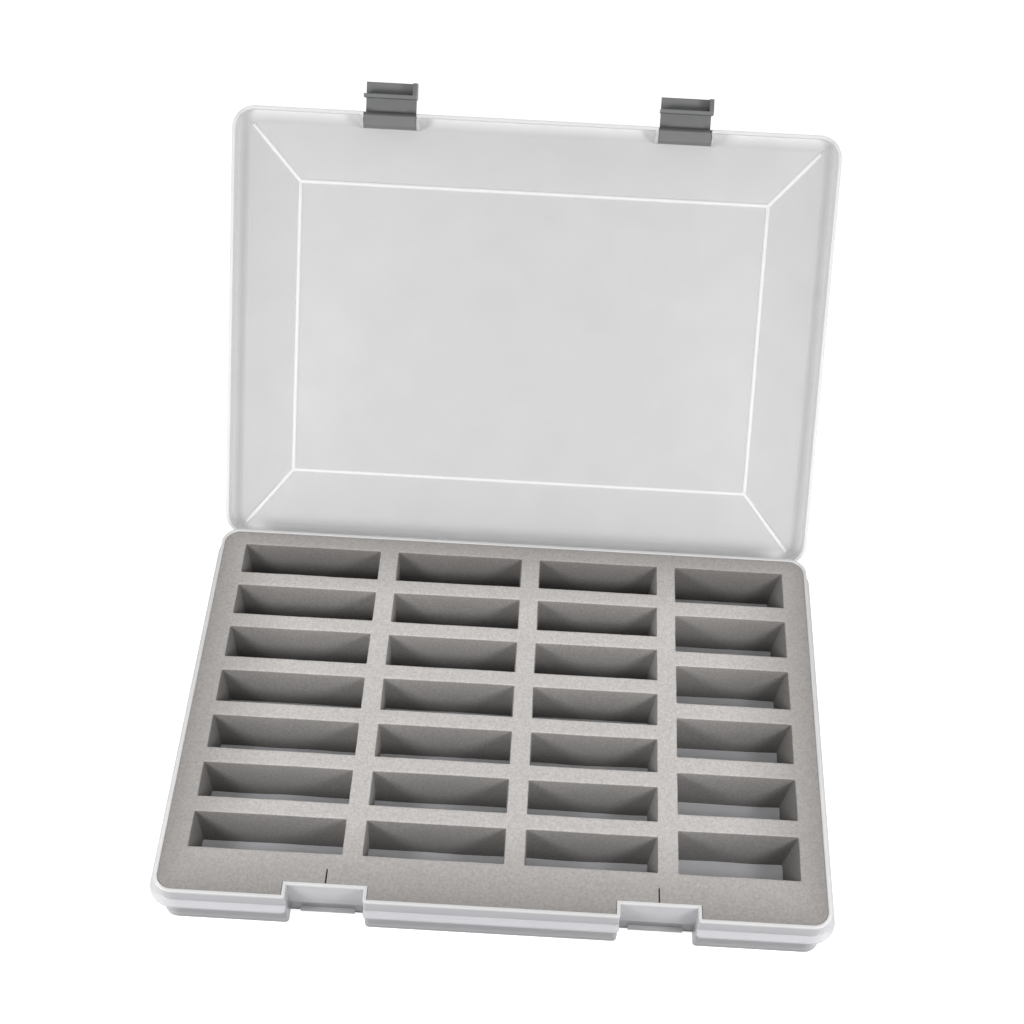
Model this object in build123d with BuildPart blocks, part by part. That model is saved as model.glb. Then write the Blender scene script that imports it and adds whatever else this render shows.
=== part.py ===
from build123d import *
import os

# Model car storage case: a translucent tray with a foam insert, a hinged lid and two latches.
# All sizes are in millimetres. The case stands on z = 0, its front faces -Y, and the origin is
# the middle of its underside. The lid is drawn as it lies when shut, on a plane that carries it open.

# Tray
rim_width = 360.0
rim_depth = 256.0
tray_height = 33.0
tray_inset = 3.0  # how far the drafted walls draw in from rim to underside, each side
tray_wall = 2.0
tray_floor = 2.0
rim_corner_radius = 11.0
rim_round = 0.6
foot_round = 2.5

# Ledge that the lid's skirt rests on
ledge_reach = 3.0
ledge_drop = 10.0  # below the rim
ledge_thickness = 2.0
ledge_chamfer = 0.4

# Latch recesses in the tray's front
latch_inset = 94.5  # from the case's side to the latch's middle
recess_width = 41.0
recess_depth = 8.3  # at the rim
recess_round = 2.0
catch_reach = 1.8
catch_height = 14.5
catch_face = 1.0  # upright face below the catch's ramp
foot_rib_width = 29.5
foot_rib_reach = 2.0
foot_rib_rise = 4.5  # from the underside
foot_rib_thickness = 2.0

# Foam insert
foam_gap = 0.3
foam_below_rim = 0.5
second_cell_length = 75.7
third_cell_length = 71.6
fourth_cell_length = 65.7
column_divider = 11.1
narrow_cell = 22.2
narrow_rows = 7
wide_cell = 26.9
wide_rows = 6
cell_corner_radius = 1.0
side_border = 13.0
back_border = 9.7
front_border = 26.3
slit_length = 9.3
slit_width = 1.2

# Lid
lid_seat_gap = 0.2
lid_headroom = 3.0  # from the rim to the lid's inside
lid_wall = 2.0
lid_round = 2.5
lid_rim_round = 0.5
panel_side_border = 39.6  # from the case's outline to the panel, and so on below
panel_front_border = 42.4
panel_back_border = 40.9
panel_raise = 5.0
bevel_side_border = 9.9
bevel_front_border = 9.5
bevel_back_border = 7.2
bead_radius = 1.1
bead_sink = 0.5  # how deep the bead's centre line lies in the lid's wall

# Hinges at the back
lid_opening = 127.9  # degrees from shut to the stop
hinge_inset = 73.0  # from the case's side to the hinge's middle
hinge_stand_off = 1.6  # from the ledge's back face to the axis
hinge_drop = 6.0  # from the ledge's top to the axis
knuckle_radius = 3.2
tray_knuckle_length = 12.0
lid_knuckle_length = 24.0
knuckle_gap = 0.3
hinge_pin_radius = 1.2
pin_clearance = 0.05
pin_chamfer = 0.2
arm_height = 6.0
arm_gap = 0.3  # from the ledge's back face to the arm
bracket_height = 12.0
stop_bearing = 2.2
stop_gap = 0.1
stop_thickness = 2.2

# Latches
latch_barrel_radius = 4.8
latch_barrel_flat = 3.9  # from the pivot to the flat on the hook's side
latch_barrel_width = 31.5
latch_pivot_inset = 4.8  # from the face of the lid's skirt
latch_pivot_rise = 5.0  # from the skirt's lower edge
latch_pin_radius = 1.0
latch_side_gap = 0.2
lug_width = 1.8
latch_plate_width = 30.3
latch_plate_thickness = 2.2
latch_length = 22.3  # from the pivot to the tip
hook_drop = 12.9  # from the pivot to the hook's working face
hook_thickness = 2.2
hook_width = 31.5
hook_wall_gap = 0.6  # from the hook's tip to the recess's wall
catch_gap = 0.1
tab_wall = 2.4
tab_tip_reach = 5.0  # reach of the end wall at the tip, where it is lowest
latch_round = 0.5

os.makedirs("parts", exist_ok=True)

# Levels and faces that several pieces share
ledge_top = tray_height - ledge_drop
ledge_bottom = ledge_top - ledge_thickness
case_width = rim_width + 2 * ledge_reach
case_depth = rim_depth + 2 * ledge_reach
case_corner_radius = rim_corner_radius + ledge_reach
latch_places = (latch_inset - case_width / 2, case_width / 2 - latch_inset)
hinge_places = (hinge_inset - case_width / 2, case_width / 2 - hinge_inset)
hinge_y = case_depth / 2 + hinge_stand_off
hinge_z = ledge_top - hinge_drop
lid_bottom = ledge_top + lid_seat_gap
lid_inside = tray_height + lid_headroom
lid_top = lid_inside + lid_wall
pivot_y = -case_depth / 2 + latch_pivot_inset
pivot_z = lid_bottom + latch_pivot_rise
catch_underside = pivot_z - hook_drop + catch_gap

# The plane that carries everything on the lid: turned open about the hinge axis
to_axis = Location((0, hinge_y, hinge_z))
turn_open = Location((0, 0, 0), (-lid_opening, 0, 0))
from_axis = Location((0, -hinge_y, -hinge_z))
lid_plane = Plane(to_axis * turn_open * from_axis)
lid_up = Axis(lid_plane.origin, lid_plane.z_dir)


def tray_outline(height, inward):
    """Width, depth and corner radius of the drafted tray at a height, a distance in from its face."""
    drawn_in = inward + tray_inset * (1 - height / tray_height)
    return rim_width - 2 * drawn_in, rim_depth - 2 * drawn_in, rim_corner_radius - drawn_in


def recess_wall_y(height):
    """Place of the recesses' drafted back wall, along Y, at a height of the tray."""
    return recess_depth - tray_outline(height, 0)[1] / 2


def recess_room(margin, bottom, top):
    """Solid that holds both recesses between two heights, grown by a margin."""
    with BuildPart() as room:
        for latch_x in latch_places:
            for height in (bottom, top):
                with BuildSketch(Plane.XY.offset(height)):
                    with Locations((latch_x, recess_wall_y(height) + margin)):
                        Rectangle(
                            recess_width + 2 * margin, case_depth / 4, align=(Align.CENTER, Align.MAX)
                        )
            loft()
    return room.part


def tray_filling(inward, bottom, top):
    """Solid that fills the tray between two heights, a distance in from its face and its recesses."""
    with BuildPart() as filling:
        for height in (bottom, top):
            with BuildSketch(Plane.XY.offset(height)):
                RectangleRounded(*tray_outline(height, inward))
        loft()
        add(recess_room(inward, bottom, top), mode=Mode.SUBTRACT)
    return filling.part


def inset_rectangle(side_border, front_border, back_border):
    """Width, depth and middle, along Y, of a rectangle drawn in from the case's outline."""
    width = case_width - 2 * side_border
    depth = case_depth - front_border - back_border
    return width, depth, (front_border - back_border) / 2


def across(frame, x):
    """Plane square to the frame's X, where a sketch's x and y are the frame's Y and Z."""
    return Plane(frame.from_local_coords((x, 0, 0)), frame.y_dir, frame.x_dir)


def pin(frame, place, radius, length):
    """Round pin along the frame's X, centred on a place in that frame."""
    x, y, z = place
    with BuildPart() as rod:
        with BuildSketch(across(frame, x)):
            with Locations((y, z)):
                Circle(radius)
        extrude(amount=length / 2, both=True)
        chamfer(rod.edges().filter_by(GeomType.CIRCLE), pin_chamfer)
    return rod.part


# Base tray: drafted shell with its ledge, latch recesses, catches, foot ribs and hinge brackets
tray_cavity = tray_filling(tray_wall, tray_floor, tray_height)

with BuildPart() as ledge:
    with BuildSketch(Plane.XY.offset(ledge_bottom)) as ledge_outline:
        RectangleRounded(case_width, case_depth, case_corner_radius)
        with Locations(*[(x, recess_wall_y(ledge_top) + tray_wall / 2) for x in latch_places]):
            Rectangle(
                recess_width, case_depth / 4, align=(Align.CENTER, Align.MAX), mode=Mode.SUBTRACT
            )
        front_vertices = ledge_outline.vertices().group_by(Axis.Y)[0]
        fillet(front_vertices.sort_by(Axis.X)[1:-1], recess_round)
    extrude(amount=ledge_thickness)
    chamfer(ledge.faces().filter_by(Axis.Z).edges(), ledge_chamfer)

with BuildPart() as base_tray:
    for height in (0, tray_height):
        with BuildSketch(Plane.XY.offset(height)):
            RectangleRounded(*tray_outline(height, 0))
    loft()
    add(recess_room(0, 0, tray_height), mode=Mode.SUBTRACT)
    upright_edges = base_tray.edges().filter_by(
        lambda edge: edge.bounding_box().size.Z > tray_height / 2
    )
    front_edges = upright_edges.group_by(Axis.Y)[0]
    fillet(front_edges.sort_by(Axis.X)[1:-1], recess_round)
    add(ledge.part)
    add(tray_cavity, mode=Mode.SUBTRACT)
    fillet(base_tray.faces().sort_by(Axis.Z)[0].edges(), foot_round)
    fillet(base_tray.faces().sort_by(Axis.Z)[-1].edges(), rim_round)
    catch_top = catch_underside + catch_height
    catch_front = recess_wall_y(catch_underside) - catch_reach
    foot_rib_top = foot_rib_rise + foot_rib_thickness
    foot_rib_front = recess_wall_y(foot_rib_top) - foot_rib_reach
    for latch_x in latch_places:
        with BuildSketch(across(Plane.XY, latch_x)):
            with BuildLine():
                Polyline(
                    (recess_wall_y(catch_underside) + tray_wall / 2, catch_underside),
                    (catch_front, catch_underside),
                    (catch_front, catch_underside + catch_face),
                    (recess_wall_y(catch_top), catch_top),
                    (recess_wall_y(catch_top) + tray_wall / 2, catch_top),
                    close=True,
                )
            make_face()
        # Its ends lie inside the recess's side walls.
        extrude(amount=(recess_width + tray_wall) / 2, both=True)
        with BuildSketch(across(Plane.XY, latch_x)):
            with BuildLine():
                Polyline(
                    (recess_wall_y(foot_rib_rise) + tray_wall / 2, foot_rib_rise),
                    (foot_rib_front, foot_rib_rise),
                    (foot_rib_front, foot_rib_top),
                    (recess_wall_y(foot_rib_top) + tray_wall / 2, foot_rib_top),
                    close=True,
                )
            make_face()
        extrude(amount=foot_rib_width / 2, both=True)
    for hinge_x in hinge_places:
        for side in (-1, 1):
            knuckle_x = hinge_x + side * (lid_knuckle_length + tray_knuckle_length + 2 * knuckle_gap) / 2
            bracket_bottom = ledge_top - bracket_height
            wall_y = tray_outline(bracket_bottom, tray_wall / 2)[1] / 2
            with BuildSketch(across(Plane.XY, knuckle_x)):
                with BuildLine():
                    Polyline(
                        (wall_y, bracket_bottom),
                        (wall_y, ledge_top),
                        (case_depth / 2, ledge_top),
                        (hinge_y, hinge_z + knuckle_radius),
                        (hinge_y, hinge_z - knuckle_radius),
                        close=True,
                    )
                make_face()
                with Locations((hinge_y, hinge_z)):
                    Circle(knuckle_radius)
                    Circle(hinge_pin_radius, mode=Mode.SUBTRACT)
            extrude(amount=tray_knuckle_length / 2, both=True)

base_tray.part.label = "base_tray"
export_step(base_tray.part, "parts/base_tray.step")

# Foam insert: one block with cells cut through it, and a slit behind each recess
foam_top = tray_height - foam_below_rim
foam_block = tray_filling(tray_wall + foam_gap, tray_floor, foam_top)
foam_width, foam_depth, _ = tray_outline(foam_top, tray_wall + foam_gap)
other_cell_lengths = second_cell_length + third_cell_length + fourth_cell_length
first_cell_length = foam_width - 2 * side_border - 3 * column_divider - other_cell_lengths
cell_columns = (
    (first_cell_length, narrow_cell, narrow_rows),
    (second_cell_length, narrow_cell, narrow_rows),
    (third_cell_length, narrow_cell, narrow_rows),
    (fourth_cell_length, wide_cell, wide_rows),
)
cells_back = foam_depth / 2 - back_border
cells_span = foam_depth - back_border - front_border

with BuildPart() as foam_insert:
    add(foam_block)
    with BuildSketch(Plane.XY.offset(foam_top)):
        cell_left = -foam_width / 2 + side_border
        for cell_length, cell, rows in cell_columns:
            row_pitch = (cells_span - cell) / (rows - 1)
            cell_x = cell_left + cell_length / 2
            with Locations(*[(cell_x, cells_back - cell / 2 - row * row_pitch) for row in range(rows)]):
                RectangleRounded(cell_length, cell, cell_corner_radius)
            cell_left += cell_length + column_divider
        slit_end = recess_wall_y(foam_top) + tray_wall + foam_gap + slit_length
        with Locations(*[(x, slit_end) for x in latch_places]):
            Rectangle(slit_width, 2 * slit_length, align=(Align.CENTER, Align.MAX))
    extrude(amount=-foam_top, mode=Mode.SUBTRACT)

foam_insert.part.label = "foam_insert"
export_step(foam_insert.part, "parts/foam_insert.step")


def lid_point(x, y, z):
    """World place of a point given where it lies when the lid is shut."""
    return lid_plane.from_local_coords((x, y, z))


def lid_corners(rectangle, level):
    """World places of an inset rectangle's corners, in order round it, at a level of the lid."""
    width, depth, middle = rectangle
    return [
        lid_point(x * width / 2, middle + y * depth / 2, level)
        for x, y in ((-1, -1), (1, -1), (1, 1), (-1, 1))
    ]


panel = inset_rectangle(panel_side_border, panel_front_border, panel_back_border)
bevel = inset_rectangle(bevel_side_border, bevel_front_border, bevel_back_border)

# Lid: skirted shell with a raised panel, crease beads, latch lugs and hinge arms
with BuildPart() as lid:
    with BuildSketch(lid_plane.offset(lid_bottom)):
        RectangleRounded(case_width, case_depth, case_corner_radius)
    extrude(amount=lid_top - lid_bottom)
    fillet(lid.faces().sort_by(lid_up)[-1].edges(), lid_round)
    with BuildSketch(lid_plane.offset(lid_bottom)):
        RectangleRounded(
            case_width - 2 * lid_wall, case_depth - 2 * lid_wall, case_corner_radius - lid_wall
        )
    extrude(amount=lid_inside - lid_bottom, mode=Mode.SUBTRACT)
    fillet(lid.faces().sort_by(lid_up)[0].edges(), lid_rim_round)
    for level, mode in ((lid_top, Mode.ADD), (lid_inside, Mode.SUBTRACT)):
        for rectangle, raised in ((bevel, 0), (panel, panel_raise)):
            with BuildSketch(lid_plane.offset(level + raised)):
                with Locations((0, rectangle[2])):
                    Rectangle(*rectangle[:2])
        loft(mode=mode)
    bead_level = lid_inside + bead_sink
    panel_corners = lid_corners(panel, bead_level + panel_raise)
    bevel_corners = lid_corners(bevel, bead_level)
    beads = list(zip(panel_corners, panel_corners[1:] + panel_corners[:1]))
    beads += list(zip(panel_corners, bevel_corners))
    for start, end in beads:
        with BuildSketch(Plane(start, z_dir=end - start)):
            Circle(bead_radius)
        extrude(amount=(end - start).length)
    with Locations(*panel_corners, *bevel_corners):
        Sphere(bead_radius)
    slot_width = latch_barrel_width + 2 * latch_side_gap
    slot_top = pivot_z + latch_barrel_radius + stop_gap
    for latch_x in latch_places:
        with BuildSketch(lid_plane.offset(lid_bottom)):
            with Locations((latch_x, -case_depth / 2)):
                Rectangle(slot_width, 4 * lid_wall)
        extrude(amount=slot_top - lid_bottom, mode=Mode.SUBTRACT)
        for side in (-1, 1):
            with BuildSketch(across(lid_plane, latch_x + side * (slot_width + lug_width) / 2)):
                with Locations((pivot_y, pivot_z)):
                    Circle(latch_pivot_inset)
                    Rectangle(
                        2 * latch_pivot_inset,
                        lid_inside + lid_wall / 2 - pivot_z,
                        align=(Align.CENTER, Align.MIN),
                    )
            extrude(amount=lug_width / 2, both=True)
        with BuildSketch(across(lid_plane, latch_x)):
            with Locations((pivot_y, pivot_z)):
                Circle(latch_pin_radius)
        extrude(amount=slot_width / 2 + lug_width, both=True, mode=Mode.SUBTRACT)
    skirt_middle = case_depth / 2 - lid_wall / 2
    for hinge_x in hinge_places:
        with BuildSketch(across(lid_plane, hinge_x)):
            with BuildLine():
                Polyline(
                    (skirt_middle, lid_bottom),
                    (skirt_middle, lid_bottom + arm_height),
                    (case_depth / 2, lid_bottom + arm_height),
                    (hinge_y + knuckle_radius, hinge_z),
                    (case_depth / 2 + arm_gap, hinge_z),
                    (case_depth / 2 + arm_gap, lid_bottom),
                    close=True,
                )
            make_face()
            with Locations((hinge_y, hinge_z)):
                Circle(knuckle_radius)
        extrude(amount=lid_knuckle_length / 2, both=True)
        # The stop bears on the ledge's underside when the lid is open.
        stop_top = ledge_bottom - stop_gap
        stop_tip = case_depth / 2 - stop_bearing
        with BuildSketch(across(Plane.XY, hinge_x)):
            with BuildLine():
                Polyline(
                    (hinge_y, stop_top),
                    (stop_tip, stop_top),
                    (stop_tip, stop_top - stop_thickness),
                    (hinge_y, hinge_z - knuckle_radius),
                    close=True,
                )
            make_face()
        extrude(amount=lid_knuckle_length / 2, both=True)
        with BuildSketch(across(lid_plane, hinge_x)):
            with Locations((hinge_y, hinge_z)):
                Circle(hinge_pin_radius + pin_clearance)
        extrude(amount=lid_knuckle_length, both=True, mode=Mode.SUBTRACT)

lid.part.label = "lid"
export_step(lid.part, "parts/lid.step")


def latch(latch_x):
    """Hooked latch on its barrel, drawn straight out from the lid's edge."""
    hook_tip_y = recess_wall_y(catch_underside) - hook_wall_gap
    hook_reach = hook_tip_y - pivot_y
    plate_top = pivot_z + latch_barrel_radius
    with BuildPart() as body:
        with BuildSketch(across(lid_plane, latch_x)):
            with Locations((pivot_y, pivot_z)):
                Circle(latch_barrel_radius)
                with Locations((0, -latch_barrel_flat)):
                    Rectangle(
                        2 * latch_barrel_radius,
                        latch_barrel_radius,
                        align=(Align.CENTER, Align.MAX),
                        mode=Mode.SUBTRACT,
                    )
        extrude(amount=latch_barrel_width / 2, both=True)
        with BuildSketch(across(lid_plane, latch_x)):
            with Locations((pivot_y, plate_top)):
                Rectangle(latch_length, latch_plate_thickness, align=(Align.MAX, Align.MAX))
        extrude(amount=latch_plate_width / 2, both=True)
        with BuildSketch(across(lid_plane, latch_x)):
            with Locations((pivot_y - hook_drop, pivot_z - hook_reach)):
                Rectangle(
                    hook_thickness, hook_reach + latch_barrel_radius, align=(Align.MAX, Align.MIN)
                )
        extrude(amount=hook_width / 2, both=True)
        fillet(body.edges().filter_by(Axis.X), latch_round)
        with BuildSketch(across(lid_plane, latch_x + hook_width / 2 - tab_wall / 2)) as end_wall:
            with BuildLine():
                Polyline(
                    (pivot_y - hook_drop, plate_top),
                    (pivot_y - hook_drop, pivot_z - hook_reach),
                    (pivot_y - hook_drop - hook_thickness, pivot_z - hook_reach),
                    (pivot_y - latch_length, pivot_z - tab_tip_reach),
                    (pivot_y - latch_length, plate_top),
                    close=True,
                )
            make_face()
            fillet(end_wall.vertices(), latch_round)
        extrude(amount=tab_wall / 2, both=True)
        with BuildSketch(across(lid_plane, latch_x)):
            with Locations((pivot_y, pivot_z)):
                Circle(latch_pin_radius + pin_clearance)
        extrude(amount=latch_barrel_width, both=True, mode=Mode.SUBTRACT)
    return body.part


latch_pin_length = latch_barrel_width + 2 * latch_side_gap + 2 * lug_width
hinge_pin_length = lid_knuckle_length + 2 * tray_knuckle_length + 2 * knuckle_gap

for side, latch_x, hinge_x in zip(("left", "right"), latch_places, hinge_places):
    hooked_latch = latch(latch_x)
    hooked_latch.label = f"latch_{side}"
    export_step(hooked_latch, f"parts/latch_{side}.step")
    latch_pin = pin(lid_plane, (latch_x, pivot_y, pivot_z), latch_pin_radius, latch_pin_length)
    latch_pin.label = f"latch_pin_{side}"
    export_step(latch_pin, f"parts/latch_pin_{side}.step")
    hinge_pin = pin(Plane.XY, (hinge_x, hinge_y, hinge_z), hinge_pin_radius, hinge_pin_length)
    hinge_pin.label = f"hinge_pin_{side}"
    export_step(hinge_pin, f"parts/hinge_pin_{side}.step")

print("lid plane origin", lid_plane.origin, "up", lid_plane.z_dir)
print("hinge axis y, z", hinge_y, hinge_z)
print("latch pivots", [lid_point(x, pivot_y, pivot_z) for x in latch_places])
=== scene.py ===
import logging
import math
from collections.abc import Callable, Mapping, Sequence
from dataclasses import dataclass
from enum import Enum

import bmesh
import bpy
import numpy as np
from mathutils import Matrix, Vector, noise


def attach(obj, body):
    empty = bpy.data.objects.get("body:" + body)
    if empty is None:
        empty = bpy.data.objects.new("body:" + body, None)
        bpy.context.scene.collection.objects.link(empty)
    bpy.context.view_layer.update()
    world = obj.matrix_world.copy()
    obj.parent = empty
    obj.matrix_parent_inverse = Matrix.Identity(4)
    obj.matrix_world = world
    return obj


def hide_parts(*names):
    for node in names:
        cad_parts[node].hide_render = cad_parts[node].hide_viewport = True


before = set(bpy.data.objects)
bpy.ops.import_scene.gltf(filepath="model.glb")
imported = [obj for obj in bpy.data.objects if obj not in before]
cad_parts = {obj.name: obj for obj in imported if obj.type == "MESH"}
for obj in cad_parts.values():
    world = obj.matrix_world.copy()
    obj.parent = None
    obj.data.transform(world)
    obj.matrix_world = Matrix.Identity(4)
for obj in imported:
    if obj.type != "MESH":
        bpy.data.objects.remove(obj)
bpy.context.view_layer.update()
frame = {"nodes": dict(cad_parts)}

MM = 0.001  # metres to one millimetre
LOG = logging.getLogger("storage_case")


# ---- helpers

def linear(hex_colour: str) -> tuple[float, float, float, float]:
    """Turns an sRGB hex colour to the linear values that a shader takes.

    Args:
        hex_colour: six hex digits after a hash, such as "#C8C4C0".

    Returns:
        Red, green and blue, linear, and a full alpha.
    """
    parts = [int(hex_colour[i:i + 2], 16) / 255 for i in (1, 3, 5)]
    red, green, blue = (p / 12.92 if p <= 0.04045 else ((p + 0.055) / 1.055) ** 2.4 for p in parts)
    return red, green, blue, 1.0


def add_node(
    tree: bpy.types.NodeTree,
    kind: str,
    settings: Mapping[str | int, object] | None = None,
    links: Mapping[str | int, bpy.types.NodeSocket] | None = None,
) -> bpy.types.Node:
    """Adds a node, gives it its settings and links its inputs.

    Args:
        tree: the node tree that the node joins.
        kind: the node's type name.
        settings: values by option name, or by an input's name or number.
        links: the sockets that feed the inputs, by an input's name or number.

    Returns:
        The new node.
    """
    made = tree.nodes.new(kind)
    for key, value in (settings or {}).items():
        if isinstance(key, str) and hasattr(made, key) and key not in made.inputs:
            setattr(made, key, value)
        else:
            made.inputs[key].default_value = value
    for key, source in (links or {}).items():
        tree.links.new(source, made.inputs[key])
    return made


def empty_material(name: str) -> tuple[bpy.types.Material, bpy.types.NodeTree]:
    """Starts a node material with nothing in it.

    Args:
        name: the material's name.

    Returns:
        The material and its node tree.
    """
    material = bpy.data.materials.new(name)
    material.use_nodes = True
    material.node_tree.nodes.clear()
    return material, material.node_tree


def clear_selection() -> None:
    """Leaves nothing selected, so that an operator acts only on what comes next."""
    if bpy.context.mode != "OBJECT":
        bpy.ops.object.mode_set(mode="OBJECT")
    bpy.ops.object.select_all(action="DESELECT")


def activate(piece: bpy.types.Object) -> None:
    """Makes one object the only selected and the active one."""
    clear_selection()
    piece.select_set(True)
    bpy.context.view_layer.objects.active = piece


def choose_faces(piece: bpy.types.Object, wanted: Callable[[Vector, Vector], bool]) -> None:
    """Selects, in edit mode, the faces that are wanted and no others.

    Args:
        piece: the object in edit mode.
        wanted: tells from a face's middle and normal whether to take it.
    """
    bpy.ops.mesh.select_mode(type="FACE")
    bpy.ops.mesh.select_all(action="DESELECT")
    shape = bmesh.from_edit_mesh(piece.data)
    for face in shape.faces:
        if wanted(face.calc_center_median(), face.normal):
            face.select_set(True)
    bmesh.update_edit_mesh(piece.data)


def settle(piece: bpy.types.Object, name: str) -> bpy.types.Object:
    """Applies an object's place, turn and size to its mesh and names it.

    Args:
        piece: an object drawn in millimetres.
        name: the finished piece's name.

    Returns:
        The same object, at the origin and in metres.
    """
    activate(piece)
    piece.location *= MM
    piece.scale *= MM
    bpy.ops.object.transform_apply(location=True, rotation=True, scale=True)
    piece.name = name
    piece.data.name = name
    return piece


def dress(piece: bpy.types.Object, material: bpy.types.Material) -> None:
    """Gives an object one material, whatever it had."""
    piece.data.materials.clear()
    piece.data.materials.append(material)


# ---- finishes

@dataclass(frozen=True)
class OpenCellFoam:
    """Die-cut foam: matt, warm grey and finely grained, with painted shade towards the rim, at the front, down the
    cells and in its pores, and painted light at the back.
    """

    middle: str = "#CBC7C4"
    # painted shade: the top face darkens towards the outline
    painted_rim_tone: str = "#999592"
    # painted shade in the open pores
    pore_shade: str = "#8F8B88"
    half_width: float = 177.7  # mm from the middle to the outline
    half_depth: float = 125.7
    corner_blend: float = 12.0  # mm over which the two sides' fades blend at a corner
    rim_shade_fade: float = 50.0  # mm over which the rim's painted shade fades
    rim_shade_power: float = 0.75  # how soon it does
    # mm from the outline between which the rolled edge stops keeping the face's tone
    lip: tuple[float, float] = (1.2, 2.5)
    back_light: float = 1.17  # share of the tone at the back edge, as painted light
    front_shade: float = 0.86  # the same at the front edge, where the photo is darker, as painted shade
    cut_wall_shade: float = 0.51  # share of the tone at the top of the cut walls, painted shade for the light lost in them
    cut_foot_shade: float = 0.26  # the same at the floor, as painted shade down the cells
    cut_depth: float = 30.5  # mm between the two
    grain: float = 1.5  # mm between specks: the real 0.4 mm cells are too fine to show at this size
    pore_pitch: float = 1.4  # mm between the larger open pores

    def material(self) -> bpy.types.Material:
        """Makes the foam's material: speckled colour with painted light and shade in it, open pores with painted
        shade in them, and a dry, velvety surface.
        """
        material, tree = empty_material("grey_open_cell_foam")
        place = add_node(tree, "ShaderNodeTexCoord").outputs["Object"]
        axes = add_node(tree, "ShaderNodeSeparateXYZ", links={0: place})
        to_edge = []
        for axis, half in (("X", self.half_width), ("Y", self.half_depth)):
            size = add_node(tree, "ShaderNodeMath", {"operation": "ABSOLUTE"}, {0: axes.outputs[axis]})
            left = add_node(
                tree,
                "ShaderNodeMath",
                {"operation": "SUBTRACT", 0: half * MM},
                {1: size.outputs[0]},
            )
            to_edge.append(left.outputs[0])
        # painted shade towards the outline
        nearest = add_node(
            tree,
            "ShaderNodeMath",
            {"operation": "SMOOTH_MIN", 2: self.corner_blend * MM},
            {0: to_edge[0], 1: to_edge[1]},
        )
        fade = add_node(
            tree,
            "ShaderNodeMapRange",
            {"From Min": 0.0, "From Max": self.rim_shade_fade * MM},
            {"Value": nearest.outputs[0]},
        )
        rim_shade_mask = add_node(
            tree,
            "ShaderNodeMath",
            {"operation": "POWER", 1: self.rim_shade_power},
            {0: fade.outputs[0]},
        )
        tone = add_node(
            tree,
            "ShaderNodeMix",
            {"data_type": "RGBA", 6: linear(self.painted_rim_tone), 7: linear(self.middle)},
            {0: rim_shade_mask.outputs[0]},
        )
        # painted shade on the cut walls, darker towards the floor
        facing = add_node(tree, "ShaderNodeNewGeometry").outputs["Normal"]
        up = add_node(tree, "ShaderNodeSeparateXYZ", links={0: facing}).outputs["Z"]
        wall_painted_shade = add_node(
            tree,
            "ShaderNodeMapRange",
            {"From Min": 0.0, "From Max": self.cut_depth * MM, "To Min": self.cut_foot_shade, "To Max": self.cut_wall_shade},
            {"Value": axes.outputs["Z"]},
        )
        outline = add_node(
            tree,
            "ShaderNodeMapRange",
            {"From Min": self.lip[0] * MM, "From Max": self.lip[1] * MM, "To Min": 1.0, "To Max": 0.0},
            {"Value": nearest.outputs[0]},
        )
        face_like = add_node(tree, "ShaderNodeMath", {"operation": "MAXIMUM"}, {0: up, 1: outline.outputs[0]})
        shade_by_facing = add_node(
            tree,
            "ShaderNodeMapRange",
            {"From Min": 0.35, "From Max": 0.85, "To Max": 1.0},
            {"Value": face_like.outputs[0], "To Min": wall_painted_shade.outputs[0]},
        )
        # painted light at the back and painted shade at the front
        painted_front_back = add_node(
            tree,
            "ShaderNodeMapRange",
            {
                "From Min": -self.half_depth * MM,
                "From Max": self.half_depth * MM,
                "To Min": self.front_shade,
                "To Max": self.back_light,
            },
            {"Value": axes.outputs["Y"]},
        )
        share = add_node(
            tree,
            "ShaderNodeMath",
            {"operation": "MULTIPLY"},
            {0: shade_by_facing.outputs[0], 1: painted_front_back.outputs[0]},
        )
        tone = add_node(
            tree,
            "ShaderNodeVectorMath",
            {"operation": "SCALE"},
            {0: tone.outputs[2], "Scale": share.outputs[0]},
        )
        specks = add_node(
            tree,
            "ShaderNodeTexNoise",
            {"Scale": 1 / (self.grain * MM), "Detail": 3.0, "Roughness": 0.65},
            {"Vector": place},
        )
        speck_range = add_node(
            tree,
            "ShaderNodeMapRange",
            {"From Min": 0.3, "From Max": 0.7, "To Min": 0.84, "To Max": 1.12},
            {"Value": specks.outputs["Fac"]},
        )
        speckled = add_node(
            tree,
            "ShaderNodeVectorMath",
            {"operation": "SCALE"},
            {0: tone.outputs[0], "Scale": speck_range.outputs[0]},
        )
        # painted shade in the open pores
        pores = add_node(
            tree, "ShaderNodeTexVoronoi", {"Scale": 1 / (self.pore_pitch * MM)}, {"Vector": place}
        )
        pore_shade_mask = add_node(
            tree,
            "ShaderNodeMapRange",
            {"From Min": 0.1, "From Max": 0.36, "To Min": 0.3, "To Max": 0.0},
            {"Value": pores.outputs["Distance"]},
        )
        colour = add_node(
            tree,
            "ShaderNodeMix",
            {"data_type": "RGBA", 7: linear(self.pore_shade)},
            {0: pore_shade_mask.outputs[0], 6: speckled.outputs[0]},
        )
        height = add_node(
            tree,
            "ShaderNodeMath",
            {"operation": "SUBTRACT"},
            {0: specks.outputs["Fac"], 1: pore_shade_mask.outputs[0]},
        )
        bump = add_node(
            tree, "ShaderNodeBump", {"Strength": 0.6, "Distance": 0.25 * MM}, {"Height": height.outputs[0]}
        )
        shader = add_node(
            tree,
            "ShaderNodeBsdfPrincipled",
            {"Roughness": 0.95, "IOR": 1.45, "Specular IOR Level": 0.2, "Sheen Weight": 0.12, "Sheen Roughness": 0.6},
            {"Base Color": colour.outputs[2], "Normal": bump.outputs["Normal"]},
        )
        add_node(tree, "ShaderNodeOutputMaterial", links={"Surface": shader.outputs[0]})
        return material


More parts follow.
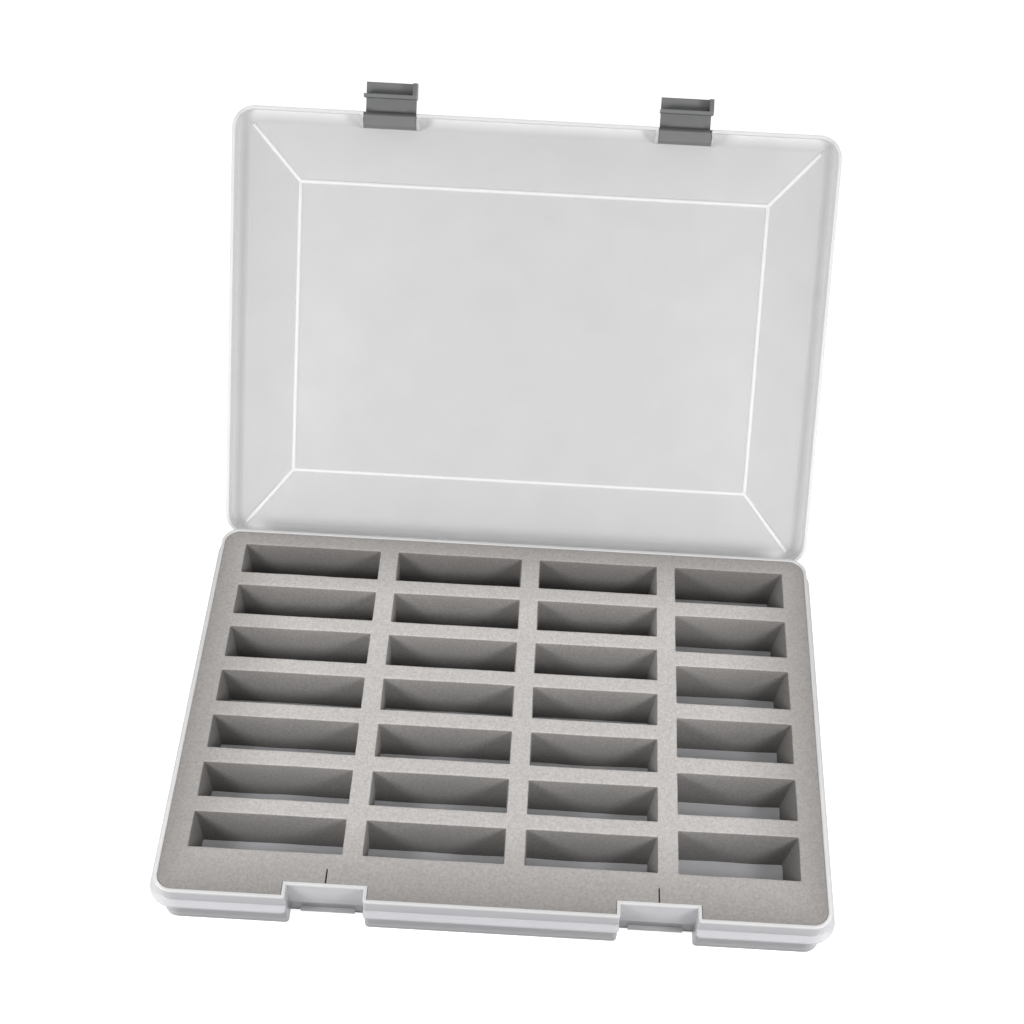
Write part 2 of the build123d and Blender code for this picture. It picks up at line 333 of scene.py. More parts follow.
@dataclass(frozen=True)
class FrostedPlastic:
    """Injection-moulded polypropylene, satin and cloudy, with what lies behind it showing through.

    Tones by height and by facing, and the lighter outline, are painted light and shade standing in for the light that
    scatters in the plastic and the shade seen through it. They were set against the photographed view.
    """

    name: str
    sides: tuple[tuple[float, str], ...]  # tone of the walls by height, in mm above the floor when shut, painted light and shade included
    flats: tuple[tuple[float, str], ...]  # the same for faces that look up, painted lighter where lit
    cover: float  # how much of what lies behind one surface it hides
    roughness: float
    half_width: float  # mm from the middle to the outline, near which the wall gathers painted light
    half_depth: float
    rim_light_reach: float  # mm over which the outline's painted light fades
    rim_light_share: float  # how strong that painted light is at the outline
    # the painted light at the outline
    painted_rim_tone: str = "#FAFAFA"
    opened: float = 0.0  # degrees by which the piece is turned open round the hinge
    axis_y: float = 132.6
    axis_z: float = 17.0
    cloud_size: float = 26.0  # mm across one soft cloud of the melt
    cloud_depth: float = 0.04  # how much darker a cloud is
    peel: float = 1.6  # mm between the ripples of the mould's satin surface
    peel_gloss: float = 0.06  # how far a ripple changes the roughness
    ramp_top: float = 50.0  # mm of height that the tones are given over

    def shut_place(self, tree: bpy.types.NodeTree, place: bpy.types.NodeSocket) -> bpy.types.Node:
        """Turns places on the piece back to where they lie when the case is shut.

        Args:
            tree: the node tree.
            place: the places as they are at rest.

        Returns:
            The node with the shut places' coordinates.
        """
        turn = math.radians(self.opened)
        back_y = self.axis_y - self.axis_y * math.cos(turn) + self.axis_z * math.sin(turn)
        back_z = self.axis_z - self.axis_y * math.sin(turn) - self.axis_z * math.cos(turn)
        shut = add_node(
            tree,
            "ShaderNodeMapping",
            {"Rotation": (turn, 0, 0), "Location": (0, back_y * MM, back_z * MM)},
            {"Vector": place},
        )
        return add_node(tree, "ShaderNodeSeparateXYZ", links={0: shut.outputs[0]})

    def tones(
        self, tree: bpy.types.NodeTree, share: bpy.types.NodeSocket, stops: tuple[tuple[float, str], ...]
    ) -> bpy.types.NodeSocket:
        """Gives the tone at each height, painted light and shade included.

        Args:
            tree: the node tree.
            share: the height, from 0 at the floor to 1 at the ramp's top.
            stops: heights in mm and their tones, upwards.

        Returns:
            The socket with the tone.
        """
        ramp = add_node(tree, "ShaderNodeValToRGB", links={0: share})
        stop_list = ramp.color_ramp.elements
        while len(stop_list) < len(stops):
            stop_list.new(1.0)
        for stop, (height, tone) in zip(stop_list, stops):
            stop.position = height / self.ramp_top
            stop.color = linear(tone)
        return ramp.outputs["Color"]

    def painted_rim_light(self, tree: bpy.types.NodeTree, axes: bpy.types.Node) -> bpy.types.NodeSocket:
        """Tells how near each place is to the piece's outline, from 0 to the rim's share: the mask of the painted
        light there.
        """
        nearest = []
        for axis, half in (("X", self.half_width), ("Y", self.half_depth)):
            size = add_node(tree, "ShaderNodeMath", {"operation": "ABSOLUTE"}, {0: axes.outputs[axis]})
            near = add_node(
                tree,
                "ShaderNodeMapRange",
                {
                    "From Min": (half - self.rim_light_reach) * MM,
                    "From Max": half * MM,
                    "To Max": self.rim_light_share,
                },
                {"Value": size.outputs[0]},
            )
            nearest.append(near.outputs[0])
        return add_node(
            tree, "ShaderNodeMath", {"operation": "MAXIMUM"}, {0: nearest[0], 1: nearest[1]}
        ).outputs[0]

    def material(self) -> bpy.types.Material:
        """Makes the plastic: painted light and shade by height, by facing and at the outline, soft clouds in them,
        and a faint ripple in its gloss.
        """
        material, tree = empty_material(self.name)
        place = add_node(tree, "ShaderNodeTexCoord").outputs["Object"]
        axes = self.shut_place(tree, place)
        facing = add_node(tree, "ShaderNodeNewGeometry").outputs["Normal"]
        up = add_node(tree, "ShaderNodeSeparateXYZ", links={0: facing}).outputs["Z"]
        # painted light: faces that look up take their own, lighter tones
        looks_up = add_node(tree, "ShaderNodeMapRange", {"From Min": 0.7, "From Max": 0.9}, {"Value": up})
        share = add_node(
            tree, "ShaderNodeMath", {"operation": "DIVIDE", 1: self.ramp_top * MM}, {0: axes.outputs["Z"]}
        )
        side_tone = self.tones(tree, share.outputs[0], self.sides)
        flat_tone = self.tones(tree, share.outputs[0], self.flats)
        colour = add_node(
            tree,
            "ShaderNodeMix",
            {"data_type": "RGBA"},
            {0: looks_up.outputs[0], 6: side_tone, 7: flat_tone},
        )
        # painted light along the outline
        colour = add_node(
            tree,
            "ShaderNodeMix",
            {"data_type": "RGBA", 7: linear(self.painted_rim_tone)},
            {0: self.painted_rim_light(tree, axes), 6: colour.outputs[2]},
        )
        clouds = add_node(
            tree,
            "ShaderNodeTexNoise",
            {"Scale": 1 / (self.cloud_size * MM), "Detail": 2.0},
            {"Vector": place},
        )
        cloud_share = add_node(
            tree,
            "ShaderNodeMapRange",
            {"From Min": 0.3, "From Max": 0.7, "To Min": 1 - self.cloud_depth, "To Max": 1.0},
            {"Value": clouds.outputs["Fac"]},
        )
        clouded = add_node(
            tree,
            "ShaderNodeVectorMath",
            {"operation": "SCALE"},
            {0: colour.outputs[2], "Scale": cloud_share.outputs[0]},
        )
        ripple = add_node(
            tree, "ShaderNodeTexNoise", {"Scale": 1 / (self.peel * MM), "Detail": 1.0}, {"Vector": place}
        )
        gloss = add_node(
            tree,
            "ShaderNodeMapRange",
            {"To Min": self.roughness - self.peel_gloss, "To Max": self.roughness + self.peel_gloss},
            {"Value": ripple.outputs["Fac"]},
        )
        bump = add_node(
            tree,
            "ShaderNodeBump",
            {"Strength": 0.15, "Distance": 0.05 * MM},
            {"Height": ripple.outputs["Fac"]},
        )
        shader = add_node(
            tree,
            "ShaderNodeBsdfPrincipled",
            {"IOR": 1.49, "Alpha": self.cover},
            {"Base Color": clouded.outputs[0], "Roughness": gloss.outputs[0], "Normal": bump.outputs["Normal"]},
        )
        add_node(tree, "ShaderNodeOutputMaterial", links={"Surface": shader.outputs[0]})
        return material


@dataclass(frozen=True)
class WhitenedCrease:
    """The lid's plastic where the mould folds it: dense, white and a little chalky."""

    colour: str = "#FAFAF9"
    thin: str = "#F0F0F0"
    spent: str = "#DEDEDE"
    spent_from: float = 164.0  # mm out from the middle, from where the diagonals fade into the lid
    spent_to: float = 178.0
    streak: float = 5.0  # mm along one change of density

    def material(self) -> bpy.types.Material:
        """Makes the crease's material, streaked along its length."""
        material, tree = empty_material("whitened_polypropylene")
        place = add_node(tree, "ShaderNodeTexCoord").outputs["Object"]
        streaks = add_node(
            tree, "ShaderNodeTexNoise", {"Scale": 1 / (self.streak * MM), "Detail": 2.0}, {"Vector": place}
        )
        colour = add_node(
            tree,
            "ShaderNodeMix",
            {"data_type": "RGBA", 6: linear(self.thin), 7: linear(self.colour)},
            {0: streaks.outputs["Fac"]},
        )
        across = add_node(tree, "ShaderNodeSeparateXYZ", links={0: place}).outputs["X"]
        out = add_node(tree, "ShaderNodeMath", {"operation": "ABSOLUTE"}, {0: across})
        fade = add_node(
            tree,
            "ShaderNodeMapRange",
            {"From Min": self.spent_from * MM, "From Max": self.spent_to * MM},
            {"Value": out.outputs[0]},
        )
        colour = add_node(
            tree,
            "ShaderNodeMix",
            {"data_type": "RGBA", 7: linear(self.spent)},
            {0: fade.outputs[0], 6: colour.outputs[2]},
        )
        bump = add_node(
            tree,
            "ShaderNodeBump",
            {"Strength": 0.2, "Distance": 0.05 * MM},
            {"Height": streaks.outputs["Fac"]},
        )
        shader = add_node(
            tree,
            "ShaderNodeBsdfPrincipled",
            {"Roughness": 0.5, "IOR": 1.49},
            {"Base Color": colour.outputs[2], "Normal": bump.outputs["Normal"]},
        )
        add_node(tree, "ShaderNodeOutputMaterial", links={"Surface": shader.outputs[0]})
        return material


@dataclass(frozen=True)
class MouldedGreyPlastic:
    """Injection-moulded grey ABS: satin, with a fine spark-eroded grain."""

    colour: str = "#7B7B7C"
    shade: str = "#727374"
    grain: float = 0.5  # mm between the grains of the mould's surface
    flow: float = 9.0  # mm across one flow mark

    def material(self) -> bpy.types.Material:
        """Makes the latch's plastic: flow marks in the grey, and grain in the gloss."""
        material, tree = empty_material("moulded_grey_abs")
        place = add_node(tree, "ShaderNodeTexCoord").outputs["Object"]
        flow = add_node(
            tree,
            "ShaderNodeTexNoise",
            {"Scale": 1 / (self.flow * MM), "Detail": 3.0},
            {"Vector": place},
        )
        colour = add_node(
            tree,
            "ShaderNodeMix",
            {"data_type": "RGBA", 6: linear(self.shade), 7: linear(self.colour)},
            {0: flow.outputs["Fac"]},
        )
        grain = add_node(tree, "ShaderNodeTexNoise", {"Scale": 1 / (self.grain * MM)}, {"Vector": place})
        gloss = add_node(
            tree, "ShaderNodeMapRange", {"To Min": 0.38, "To Max": 0.56}, {"Value": grain.outputs["Fac"]}
        )
        bump = add_node(
            tree,
            "ShaderNodeBump",
            {"Strength": 0.25, "Distance": 0.04 * MM},
            {"Height": grain.outputs["Fac"]},
        )
        shader = add_node(
            tree,
            "ShaderNodeBsdfPrincipled",
            {"IOR": 1.54},
            {"Base Color": colour.outputs[2], "Roughness": gloss.outputs[0], "Normal": bump.outputs["Normal"]},
        )
        add_node(tree, "ShaderNodeOutputMaterial", links={"Surface": shader.outputs[0]})
        return material


@dataclass(frozen=True)
class DrawnSteelWire:
    """Bright drawn steel wire: fine lines along its length."""

    colour: str = "#C2C1BE"
    line_pitch: float = 0.25  # mm between draw lines, coarser than the real 0.05 mm so that they show
    line_length: float = 8.0  # mm along one draw line

    def material(self) -> bpy.types.Material:
        """Makes the pins' steel: draw lines along X in its gloss and its surface."""
        material, tree = empty_material("drawn_steel_wire")
        place = add_node(tree, "ShaderNodeTexCoord").outputs["Object"]
        along = self.line_pitch / self.line_length
        stretched = add_node(tree, "ShaderNodeMapping", {"Scale": (along, 1.0, 1.0)}, {"Vector": place})
        lines = add_node(
            tree,
            "ShaderNodeTexNoise",
            {"Scale": 1 / (self.line_pitch * MM), "Detail": 2.0},
            {"Vector": stretched.outputs[0]},
        )
        gloss = add_node(
            tree, "ShaderNodeMapRange", {"To Min": 0.2, "To Max": 0.42}, {"Value": lines.outputs["Fac"]}
        )
        bump = add_node(
            tree, "ShaderNodeBump", {"Strength": 0.2, "Distance": 0.02 * MM}, {"Height": lines.outputs["Fac"]}
        )
        shader = add_node(
            tree,
            "ShaderNodeBsdfPrincipled",
            {"Base Color": linear(self.colour), "Metallic": 1.0},
            {"Roughness": gloss.outputs[0], "Normal": bump.outputs["Normal"]},
        )
        add_node(tree, "ShaderNodeOutputMaterial", links={"Surface": shader.outputs[0]})
        return material


# ---- the case's pieces

class Body(Enum):
    """The bodies that the case's pieces ride on."""

    BASE = "base"
    LID = "lid"


@dataclass
class CellColumn:
    """One column of the insert's cells, from its left edge, in mm."""

    left: float
    length: float
    cell: float
    rows: int


@dataclass
class FoamInsert:
    """The foam block with its cells, the notches behind the latch recesses and their slits, in mm."""

    width: float = 356.3
    depth: float = 252.3
    corner_radius: float = 9.1
    bottom: float = 2.1
    top: float = 32.5
    draft: float = 0.0909  # how far the sides draw in per mm of height
    first_left: float = -164.65
    cells_back: float = 115.95
    cells_span: float = 215.31
    divider: float = 11.1
    lengths: tuple[float, ...] = (83.009, 75.7, 71.6, 65.7)
    cells: tuple[float, ...] = (22.2, 22.2, 22.2, 26.9)
    rows: tuple[int, ...] = (7, 7, 7, 6)
    latch_places: tuple[float, ...] = (-88.5, 88.5)
    notch_half: float = 22.55
    notch_back: float = -117.6
    slit_half: float = 0.35
    slit_end: float = -108.6
    corner_steps: int = 6
    layers: int = 7  # score lines up the walls, less the two that keep the edges
    edge_keep: float = 0.9  # from each cut edge to the line that keeps it crisp
    stride: float = 5.5  # longest span between lines
    bow: float = 0.5  # how far a cell's wall bellies out
    sway: float = 0.75  # how far the walls wander
    sway_length: float = 34.0
    seed: int = 7  # of the noise, which starts from the clock without one
    tremble: float = 0.1  # the same, in short ripples
    tremble_length: float = 4.0
    pitting: float = 0.12  # how far the face dips between them
    side_fade: float = 9.0  # from the outer sides to where the walls are free to move
    leans: tuple[float, ...] = (1.6, 0.0, 3.0, 4.5)  # how far a column's outer end walls lean in at the floor
    lean_span: float = 20.0  # along the cell over which the lean dies away

    def columns(self) -> list[CellColumn]:
        """Lists the columns from left to right."""
        made, left = [], self.first_left
        for length, cell, rows in zip(self.lengths, self.cells, self.rows):
            made.append(CellColumn(left, length, cell, rows))
            left += length + self.divider
        return made

    def cell_edges(self, column: CellColumn) -> list[tuple[float, float]]:
        """Gives the front and back of each cell of a column.

        Args:
            column: the column.

        Returns:
            Pairs of Y, from the back row to the front row.
        """
        pitch = (self.cells_span - column.cell) / (column.rows - 1)
        backs = [self.cells_back - row * pitch for row in range(column.rows)]
        return [(back - column.cell, back) for back in backs]

    def lines(self, edges: Sequence[float], start: float, end: float) -> list[float]:
        """Places the score lines along one axis: at each edge, close on both sides of it, and between.

        Args:
            edges: where a cut's edge lies.
            start: the block's lower side.
            end: the block's upper side.

        Returns:
            The places of the lines, in order.
        """
        near = [e + side * self.edge_keep for e in edges for side in (-1, 1)]
        fixed = sorted({start, end, start + self.edge_keep, end - self.edge_keep, *edges, *near})
        fixed = [v for v in fixed if start <= v <= end]
        places = []
        for low, high in zip(fixed, fixed[1:]):
            count = max(1, round((high - low) / self.stride))
            places += [low + (high - low) * i / count for i in range(count)]
        return [v for v in places if start + 0.05 < v < end - 0.05]

    def is_cut(self, x: float, y: float) -> bool:
        """Tells whether a place on the block's face is cut away."""
        for column in self.columns():
            if column.left < x < column.left + column.length:
                if any(front < y < back for front, back in self.cell_edges(column)):
                    return True
        for latch_x in self.latch_places:
            if abs(x - latch_x) < self.notch_half and y < self.notch_back:
                return True
            if abs(x - latch_x) < self.slit_half and y < self.slit_end:
                return True
        return False

    def outline(self) -> bpy.types.Object:
        """Draws the block's outline as one face with rounded corners."""
        clear_selection()
        bpy.ops.mesh.primitive_plane_add(size=1, location=(0, 0, 0))
        block = bpy.context.object
        bpy.ops.object.mode_set(mode="EDIT")
        bpy.ops.mesh.select_all(action="SELECT")
        bpy.ops.transform.resize(value=(self.width, self.depth, 1))
        bpy.ops.mesh.bevel(offset=self.corner_radius, segments=self.corner_steps, affect="VERTICES")
        return block

    def score(self, block: bpy.types.Object) -> None:
        """Scores the face along the cells' edges, the columns across and the rows along."""
        columns = self.columns()
        sides = [s for c in columns for s in (c.left, c.left + c.length)]
        sides += [x + s * self.notch_half for x in self.latch_places for s in (-1, 1)]
        sides += [x + s * self.slit_half for x in self.latch_places for s in (-1, 1)]
        for x in self.lines(sides, -self.width / 2, self.width / 2):
            bpy.ops.mesh.select_all(action="SELECT")
            bpy.ops.mesh.bisect(plane_co=(x, 0, 0), plane_no=(1, 0, 0))
        split = columns[3].left - self.divider / 2
        fronts = [self.notch_back, self.slit_end]
        for column, is_here in ((columns[0], lambda x: x < split), (columns[3], lambda x: x > split)):
            edges = [e for pair in self.cell_edges(column) for e in pair] + fronts
            for y in self.lines(edges, -self.depth / 2, self.depth / 2):
                choose_faces(block, lambda middle, _, here=is_here: here(middle.x))
                bpy.ops.mesh.bisect(plane_co=(0, y, 0), plane_no=(0, 1, 0))

    def cut_and_raise(self, block: bpy.types.Object) -> None:
        """Cuts the cells, notches and slits away and raises the rest to the block's height."""
        choose_faces(block, lambda middle, _: self.is_cut(middle.x, middle.y))
        bpy.ops.mesh.delete(type="FACE")
        bpy.ops.mesh.select_all(action="SELECT")
        height = self.top - self.bottom
        inner = height - 2 * self.edge_keep
        steps = [self.edge_keep] + [inner / self.layers] * self.layers + [self.edge_keep]
        for step in steps:
            bpy.ops.mesh.extrude_region_move(TRANSFORM_OT_translate={"value": (0, 0, step)})
        bpy.ops.mesh.select_all(action="SELECT")
        bpy.ops.mesh.remove_doubles(threshold=0.01)
        bpy.ops.mesh.normals_make_consistent(inside=False)
        bpy.ops.object.mode_set(mode="OBJECT")

    def soften(self, block: bpy.types.Object) -> None:
        """Softens the cut edges with one level of subdivision."""
        activate(block)
        smooth = block.modifiers.new("soft_edges", "SUBSURF")
        smooth.levels = smooth.render_levels = 1
        bpy.ops.object.modifier_apply(modifier=smooth.name)

    def wander(self, block: bpy.types.Object) -> None:
        """Lets the cut walls belly and wander as die-cut foam does, and drafts the outer sides."""
        mesh = block.data
        count = len(mesh.vertices)
        place, facing = np.empty(count * 3), np.empty(count * 3)
        mesh.vertices.foreach_get("co", place)
        mesh.vertices.foreach_get("normal", facing)
        place, facing = place.reshape(-1, 3), facing.reshape(-1, 3)
        x, y, z = place.T
        depth = self.top - self.bottom
        up = np.clip(z / depth, 0, 1)
        to_side = np.minimum(self.width / 2 - abs(x), self.depth / 2 - abs(y))
        for latch_x in self.latch_places:
            past_side = np.maximum(abs(x - latch_x) - self.notch_half, 0)
            past_back = np.maximum(y - self.notch_back, 0)
            to_side = np.minimum(to_side, np.hypot(past_side, past_back))
        free = np.clip(to_side / self.side_fade, 0, 1)
        free = free * free * (3 - 2 * free)
        moved = place.copy()
        level = np.hypot(facing[:, 0], facing[:, 1])
        belly = self.bow * np.sin(math.pi * np.clip(z / depth, 0, 1)) * free * level
        moved[:, 0] += belly * facing[:, 0]
        moved[:, 1] += belly * facing[:, 1]
        swing = self.sway * (0.3 + 0.7 * np.sin(math.pi * (1 - up) * 0.6)) * free
        noise.seed_set(self.seed)
        for i in range(count):
            at = Vector(place[i])
            slow = noise.noise_vector(at / self.sway_length)
            quick = noise.noise_vector(at / self.tremble_length + Vector((7, 3, 1)))
            moved[i, 0] += swing[i] * slow.x + self.tremble * free[i] * quick.x
            moved[i, 1] += swing[i] * slow.y + self.tremble * free[i] * quick.y
            moved[i, 2] -= self.pitting * abs(quick.z) * up[i] ** 8
        drawn = self.draft * depth * (1 - up) * (1 - free)
        moved[:, 0] -= np.sign(x) * drawn * (self.width / 2 - abs(x) < self.side_fade)
        moved[:, 1] -= np.sign(y) * drawn * (self.depth / 2 - abs(y) < self.side_fade)
        moved[:, 0] += self.lean(x, 1 - up)
        moved[:, 2] += self.bottom
        mesh.vertices.foreach_set("co", moved.ravel())
        mesh.update()

    def lean(self, x: np.ndarray, down: np.ndarray) -> np.ndarray:
        """Gives the shift of each place for the end walls that lean in towards the floor.

        Args:
            x: the places' X.
            down: how far down each place lies, from 0 at the face to 1 at the floor.

        Returns:
            The shifts along X.
        """
        shift = np.zeros_like(x)
        for column, amount in zip(self.columns(), self.leans):
            inward = 1 if column.left + column.length / 2 < 0 else -1
            wall = column.left if inward > 0 else column.left + column.length
            inside = (x - wall) * inward
            share = np.where(inside > 0, 1 - inside / self.lean_span, 1 + 2 * inside / self.divider)
            shift += inward * amount * down * np.clip(share, 0, 1)
        return shift

    def build(self) -> bpy.types.Object:
        """Builds and dresses the insert.

        Returns:
            The finished piece.
        """
        block = self.outline()
        self.score(block)
        self.cut_and_raise(block)
        self.soften(block)
        self.wander(block)
        foam = settle(block, "foam")
        bpy.ops.object.shade_smooth()
        dress(foam, OpenCellFoam().material())
        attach(foam, Body.BASE.value)
        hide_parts("foam_insert")
        LOG.info("foam: %d faces", len(foam.data.polygons))
        return foam


@dataclass
class LidFrame:
    """Where the open lid carries what is drawn for the shut one, in mm."""

    axis_y: float = 132.6
    axis_z: float = 17.0
    opening: float = 127.9

    def carry(self, x: float, y: float, z: float) -> Vector:
        """Gives the open place of a point drawn on the shut lid."""
        angle = math.radians(self.opening)
        dy, dz = y - self.axis_y, z - self.axis_z
        return Vector((
            x,
            self.axis_y + dy * math.cos(angle) + dz * math.sin(angle),
            self.axis_z - dy * math.sin(angle) + dz * math.cos(angle),
        ))


@dataclass
class LidCreases:
    """The white crease lines round the lid's raised panel and out to its corners, in mm."""

    radius: float = 1.4
    sides: int = 14
    level: float = 36.5
    raised: float = 5.0
    panel: tuple[float, float, float, float] = (-143.4, 143.4, -88.6, 90.1)
    corner: tuple[float, float, float, float] = (-171.6, 171.6, -120.2, 124.4)
    stride: float = 12.0  # between the rings along a bead
    unevenness: float = 0.05  # share by which its width varies
    uneven_length: float = 9.0
    # steps out and widths of a domed end, in shares of the radius
    dome: tuple[tuple[float, float], ...] = ((0.45, 0.86), (0.3, 0.62), (0.12, 0.3))

    def crease(self, start: Vector, end: Vector) -> bpy.types.Object:
        """Models one crease: a round bead with domed ends.

        Args:
            start: where the crease begins.
            end: where it ends.

        Returns:
            The bead.
        """
        along = end - start
        clear_selection()
        bpy.ops.mesh.primitive_cylinder_add(
            vertices=self.sides, radius=self.radius, depth=along.length, location=(0, 0, along.length / 2)
        )
        bead = bpy.context.object
        bpy.ops.object.transform_apply(location=True, rotation=True, scale=True)
        bpy.ops.object.mode_set(mode="EDIT")
        for z_end, sign in ((0.0, -1), (along.length, 1)):
            choose_faces(bead, lambda middle, normal, s=sign: normal.z * s > 0.9)
            for out, size in self.dome:
                bpy.ops.mesh.extrude_region_move(
                    TRANSFORM_OT_translate={"value": (0, 0, sign * out * self.radius)}
                )
                bpy.ops.transform.resize(value=(size, size, 1), center_override=(0, 0, z_end))
        pieces = max(2, int(along.length / self.stride))
        for i in range(1, pieces):
            bpy.ops.mesh.select_all(action="SELECT")
            bpy.ops.mesh.bisect(plane_co=(0, 0, along.length * i / pieces), plane_no=(0, 0, 1))
        bpy.ops.object.mode_set(mode="OBJECT")
        for vertex in bead.data.vertices:
            width = 1 + self.unevenness * noise.noise(Vector((start.x, end.y, vertex.co.z)) / self.uneven_length)
            vertex.co.x *= width
            vertex.co.y *= width
        turn = along.to_track_quat("Z", "Y").to_matrix().to_4x4()
        bead.data.transform(Matrix.Translation(start) @ turn)
        return bead

    def build(self, lid: LidFrame) -> bpy.types.Object:
        """Builds and dresses the creases.

        Args:
            lid: the open lid's frame.

        Returns:
            All the creases as one piece.
        """
        inner, outer = [], []
        for x, y in ((0, 2), (1, 2), (1, 3), (0, 3)):
            inner.append(lid.carry(self.panel[x], self.panel[y], self.level + self.raised))
            outer.append(lid.carry(self.corner[x], self.corner[y], self.level))
        beads = [self.crease(a, b) for a, b in zip(inner, inner[1:] + inner[:1])]
        beads += [self.crease(a, b) for a, b in zip(inner, outer)]
        clear_selection()
        for bead in beads:
            bead.select_set(True)
        bpy.context.view_layer.objects.active = beads[0]
        bpy.ops.object.join()
        creases = settle(beads[0], "lid_creases")
        bpy.ops.object.shade_smooth_by_angle(angle=math.radians(50))
        dress(creases, WhitenedCrease().material())
        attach(creases, Body.LID.value)
        LOG.info("lid_creases: %d faces", len(creases.data.polygons))
        return creases


@dataclass
class CadPieces:
    """The rigid pieces whose CAD shape is right, and what each is made of."""

    nodes: Mapping[str, bpy.types.Object]

    def dress_all(self) -> None:
        """Gives every rigid node its material."""
        tray = FrostedPlastic(
            "frosted_tray_polypropylene",
            # painted shade darkening the walls towards the foot, and a painted highlight along the rim
            sides=(
                (1.0, "#6C6C6F"),
                (5.0, "#9B9B9E"),
                (14.0, "#A6A6A9"),
                (20.0, "#C8C8CC"),
                (25.0, "#D1D1D5"),
                (31.2, "#D1D1D5"),
                (31.9, "#ECECEC"),
            ),
            # painted light: faces that look up are lighter than the walls
            flats=(
                (2.0, "#D0D0D4"),
                (5.0, "#C2C2C5"),
                (8.0, "#C2C2C5"),
                (15.0, "#C2C1C9"),
                (30.0, "#ECECEC"),
            ),
            cover=0.75,
            roughness=0.34,
            # painted light towards the tray's left and right ends
            half_width=181.0,
            half_depth=900.0,
            rim_light_reach=14.0,
            rim_light_share=0.4,
        )
        lid_tones = ((36.0, "#D5D5D5"), (42.0, "#DFDFDF"))
        lid = FrostedPlastic(
            "frosted_lid_polypropylene",
            sides=lid_tones,
            flats=lid_tones,
            cover=0.68,
            roughness=0.42,
            half_width=182.0,
            half_depth=130.0,
            # painted light along the lid's outline
            rim_light_reach=7.0,
            rim_light_share=1.0,
            opened=127.9,
        )
        finishes = {
            tray.material(): ("base_tray",),
            lid.material(): ("lid",),
            MouldedGreyPlastic().material(): ("latch_left", "latch_right"),
            DrawnSteelWire().material(): (
                "hinge_pin_left", "hinge_pin_right", "latch_pin_left", "latch_pin_right"
            ),
        }
        for material, names in finishes.items():
            for name in names:
                self.nodes[name].material_slots[0].material = material
                LOG.info("%s: %s", name, material.name)


# ---- the studio

@dataclass
class Softbox:
    """A square lamp with a white cloth, which faces the case."""

    name: str
    place: tuple[float, float, float]
    size: float
    power: float
    aim: tuple[float, float, float] = (0.0, 0.02, 0.03)

    def build(self) -> None:
        """Hangs the lamp."""
        lamp = bpy.data.lights.new(self.name, "AREA")
        lamp.size, lamp.energy = self.size, self.power
        hung = bpy.data.objects.new(self.name, lamp)
        hung.location = self.place
        hung.rotation_euler = (Vector(self.place) - Vector(self.aim)).to_track_quat("Z", "Y").to_euler()
        hung.visible_camera = False
        bpy.context.scene.collection.objects.link(hung)


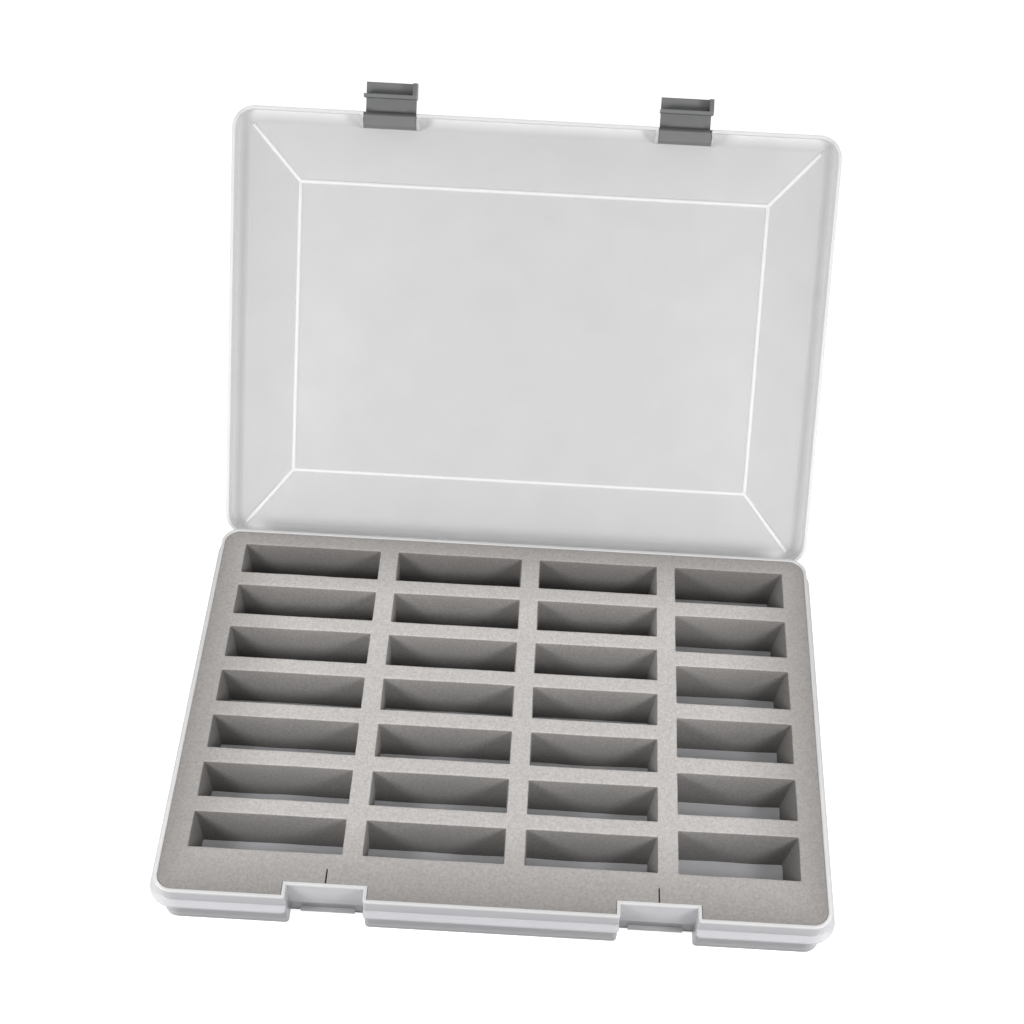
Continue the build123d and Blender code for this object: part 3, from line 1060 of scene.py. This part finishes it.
@dataclass
class Studio:
    """Pale floor, soft light and the camera at the photograph's angle."""

    dome: float = 0.35  # light of the surroundings on what isn't seen directly
    floor_size: float = 60.0
    floor_colour: str = "#D0D0D0"
    floor_lift: float = 0.8  # brings the lit floor up to white and leaves the shadow on it
    lens: float = 60.956
    shift_y: float = 0.0859
    camera_at: tuple[float, float, float] = (0.01042, -0.57856, 0.84019)
    camera_right: tuple[float, float, float] = (0.99839, 0.0493, 0.0282)
    camera_back: tuple[float, float, float] = (0.00944, -0.63374, 0.77349)

    def white_where_seen(self, tree: bpy.types.NodeTree, low: float, high: float) -> bpy.types.NodeSocket:
        """Gives one strength to what is seen directly, in a gloss or through plastic, and another elsewhere.

        Args:
            tree: the node tree.
            low: the strength elsewhere.
            high: the strength where seen.

        Returns:
            The socket with the strength.
        """
        path = add_node(tree, "ShaderNodeLightPath")
        seen = path.outputs["Is Camera Ray"]
        for other in ("Is Glossy Ray", "Is Transmission Ray"):
            seen = add_node(
                tree, "ShaderNodeMath", {"operation": "MAXIMUM"}, {0: seen, 1: path.outputs[other]}
            ).outputs[0]
        return add_node(tree, "ShaderNodeMapRange", {"To Min": low, "To Max": high}, {"Value": seen}).outputs[0]

    def surroundings(self) -> None:
        """Makes the white surroundings and their plain light."""
        world = bpy.data.worlds.new("surroundings")
        bpy.context.scene.world = world
        world.use_nodes = True
        tree = world.node_tree
        tree.nodes.clear()
        strength = self.white_where_seen(tree, self.dome, 1.0)
        sky = add_node(tree, "ShaderNodeBackground", {"Color": linear("#FFFFFF")}, {"Strength": strength})
        add_node(tree, "ShaderNodeOutputWorld", links={"Surface": sky.outputs[0]})

    def floor(self) -> None:
        """Lays the pale paper floor."""
        clear_selection()
        bpy.ops.mesh.primitive_plane_add(size=self.floor_size, location=(0, 0, -0.0002))
        paper = bpy.context.object
        bpy.ops.object.transform_apply(location=True, rotation=True, scale=True)
        paper.name = "studio_floor"
        material, tree = empty_material("matt_white_paper")
        place = add_node(tree, "ShaderNodeTexCoord").outputs["Object"]
        fibres = add_node(tree, "ShaderNodeTexNoise", {"Scale": 900.0, "Detail": 2.0}, {"Vector": place})
        bump = add_node(
            tree,
            "ShaderNodeBump",
            {"Strength": 0.05, "Distance": 0.05 * MM},
            {"Height": fibres.outputs["Fac"]},
        )
        sheet = add_node(
            tree,
            "ShaderNodeBsdfPrincipled",
            {"Base Color": linear(self.floor_colour), "Roughness": 0.9, "Specular IOR Level": 0.1},
            {"Normal": bump.outputs["Normal"]},
        )
        strength = self.white_where_seen(tree, 0.0, self.floor_lift)
        lift = add_node(tree, "ShaderNodeEmission", {"Color": linear("#FFFFFF")}, {"Strength": strength})
        both = add_node(tree, "ShaderNodeAddShader", links={0: sheet.outputs[0], 1: lift.outputs[0]})
        add_node(tree, "ShaderNodeOutputMaterial", links={"Surface": both.outputs[0]})
        dress(paper, material)

    def camera(self) -> None:
        """Sets the camera up where a perspective fit places the photograph's."""
        right = Vector(self.camera_right).normalized()
        back = Vector(self.camera_back).normalized()
        up = back.cross(right).normalized()
        right = up.cross(back)
        lens = bpy.data.cameras.new("camera")
        lens.sensor_width, lens.lens, lens.shift_y = 36.0, self.lens, self.shift_y
        stand = bpy.data.objects.new("camera", lens)
        turn = Matrix((right, up, back)).transposed().to_4x4()
        stand.matrix_world = Matrix.Translation(Vector(self.camera_at)) @ turn
        bpy.context.scene.collection.objects.link(stand)
        bpy.context.scene.camera = stand

    def build(self) -> None:
        """Builds the studio round the case."""
        bpy.context.scene.view_settings.view_transform = "Standard"
        self.camera()
        self.surroundings()
        self.floor()
        softboxes = (
            Softbox("softbox_left", (-0.5, -0.38, 0.45), 0.22, 3.1),
            Softbox("softbox_right", (0.5, -0.38, 0.45), 0.22, 3.1),
        )
        for softbox in softboxes:
            softbox.build()


def main() -> None:
    """Builds the studio and the case's pieces in order."""
    logging.basicConfig(level=logging.INFO, format="%(message)s")
    clear_selection()
    Studio().build()
    CadPieces(frame["nodes"]).dress_all()
    FoamInsert().build()
    LidCreases().build(LidFrame())


if __name__ == "__main__":
    main()
